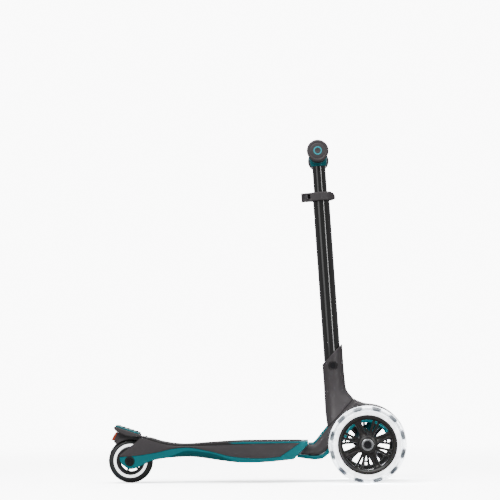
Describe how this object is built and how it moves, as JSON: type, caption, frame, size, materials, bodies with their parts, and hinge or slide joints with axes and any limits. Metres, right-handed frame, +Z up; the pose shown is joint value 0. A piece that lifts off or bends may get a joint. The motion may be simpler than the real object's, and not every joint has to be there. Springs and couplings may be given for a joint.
{
  "type": "kick scooter",
  "caption": "Child's lean-to-steer kick scooter with lighting front wheels, an extending deck, a foot brake and a height-adjustable T-bar.",
  "frame": {"origin": "on the floor, midway between the back of the rear wheel and the front of the front wheels, in the middle plane", "axes": "+X forward, +Y to the rider's left, +Z up"},
  "size_m": [0.5644, 0.268, 0.6405],
  "materials": {
    "teal_plastic": "satin moulded nylon, fine texture",
    "charcoal_plastic": "matte moulded, fine spark texture",
    "black_plastic": "satin moulded nylon",
    "mat_rubber": "soft grooved rubber",
    "grip_rubber": "soft ribbed rubber",
    "elastomer": "moulded elastomer",
    "rear_tyre": "smooth cast polyurethane",
    "clear_tyre": "clear cast polyurethane",
    "light_ring": "translucent white diffuser",
    "black_gloss_tube": "gloss black paint",
    "black_bolt": "black oxide",
    "bright_steel": "bright zinc plated",
    "cast_aluminium": "dark coated cast aluminium",
    "reflector": "orange-red prismatic reflector"
  },
  "bodies": {
    "deck": {"deck_tray": "teal_plastic", "side_panel_left": "charcoal_plastic", "side_panel_right": "charcoal_plastic", "deck_mat": "mat_rubber", "underside_cover": "black_plastic", "underside_screws": "bright_steel", "guide_blocks": "black_plastic", "rear_axle_bolt": "black_bolt", "rear_axle_nut": "black_bolt", "rear_axle_spacers": "bright_steel", "brake_hinge_pin": "bright_steel", "brake_spring": "bright_steel", "button_spring": "bright_steel"},
    "extension_button": {"extension_button": "black_plastic"},
    "brake": {"brake_pedal": "charcoal_plastic", "brake_foot_plate": "teal_plastic", "brake_ribs": "mat_rubber", "brake_reflector": "reflector", "brake_friction_plate": "bright_steel"},
    "rear_wheel": {"rear_rim": "black_plastic", "rear_tyre": "rear_tyre", "rear_bearings": "bright_steel"},
    "front_frame": {"slide_rail": "cast_aluminium", "neck_core": "teal_plastic", "hood_cover": "charcoal_plastic", "stem_base": "charcoal_plastic", "stem_base_screws": "bright_steel", "stem_base_bolt": "black_bolt", "stem_base_nut": "black_bolt", "outer_tube": "black_gloss_tube", "tube_bush": "black_plastic", "clamp_collar": "charcoal_plastic", "clamp_bolt": "bright_steel", "clamp_lever_pin": "bright_steel", "kingpin": "black_bolt", "kingpin_nut": "black_bolt", "steering_bushings": "elastomer"},
    "clamp_lever": {"clamp_lever": "charcoal_plastic"},
    "truck": {"truck_hanger": "cast_aluminium", "front_axle_bolts": "black_bolt", "magnet_spacers": "bright_steel"},
    "front_wheel_left": {"front_rim_left": "black_plastic", "light_ring_left": "light_ring", "front_tyre_left": "clear_tyre", "front_bearings_left": "bright_steel"},
    "front_wheel_right": {"front_rim_right": "black_plastic", "light_ring_right": "light_ring", "front_tyre_right": "clear_tyre", "front_bearings_right": "bright_steel"},
    "handlebar": {"inner_tube": "black_gloss_tube", "tube_slider": "black_plastic", "t_joint": "teal_plastic", "handlebar_tube": "black_gloss_tube", "grip_left": "grip_rubber", "grip_right": "grip_rubber", "grip_cap_left": "charcoal_plastic", "grip_cap_right": "charcoal_plastic", "height_button_spring": "bright_steel"},
    "height_button": {"height_button": "black_plastic"}
  },
  "joints": [
    {"name": "rear_wheel_spin", "type": "hinge", "parent": "deck", "child": "rear_wheel", "pos_m": [-0.23975, 0, 0.0425], "axis": [0, 1, 0], "continuous": true},
    {"name": "brake_press", "type": "hinge", "parent": "deck", "child": "brake", "pos_m": [-0.21675, 0, 0.0845], "axis": [0, -1, 0], "range_deg": [0, 3.4], "stiffness_Nm_per_rad": 6},
    {"name": "deck_extension", "type": "slide", "parent": "deck", "child": "front_frame", "axis": [1, 0, 0], "range_m": [0, 0.08]},
    {"name": "extension_button_press", "type": "slide", "parent": "deck", "child": "extension_button", "axis": [0, 0, 1], "range_m": [0, 0.003], "stiffness_N_per_m": 900, "deforming": ["button_spring"]},
    {"name": "truck_steer", "type": "hinge", "parent": "front_frame", "child": "truck", "pos_m": [0.19985, 0, 0.0824], "axis": [0.7071, 0, 0.7071], "range_deg": [-15, 15], "stiffness_Nm_per_rad": 60},
    {"name": "front_wheel_left_spin", "type": "hinge", "parent": "truck", "child": "front_wheel_left", "pos_m": [0.20975, 0.106, 0.0725], "axis": [0, 1, 0], "continuous": true},
    {"name": "front_wheel_right_spin", "type": "hinge", "parent": "truck", "child": "front_wheel_right", "pos_m": [0.20975, -0.106, 0.0725], "axis": [0, 1, 0], "continuous": true},
    {"name": "handlebar_height", "type": "slide", "parent": "front_frame", "child": "handlebar", "axis": [-0.06, 0, 0.9982], "range_m": [0, 0.2]},
    {"name": "clamp_lever_swing", "type": "hinge", "parent": "front_frame", "child": "clamp_lever", "pos_m": [0.10011, -0.0165, 0.54074], "axis": [0.06, 0, -0.9982], "range_deg": [0, 125]},
    {"name": "height_button_press", "type": "slide", "parent": "handlebar", "child": "height_button", "axis": [0.9982, 0, 0.06], "range_m": [0, 0.0015], "stiffness_N_per_m": 900}
  ]
}
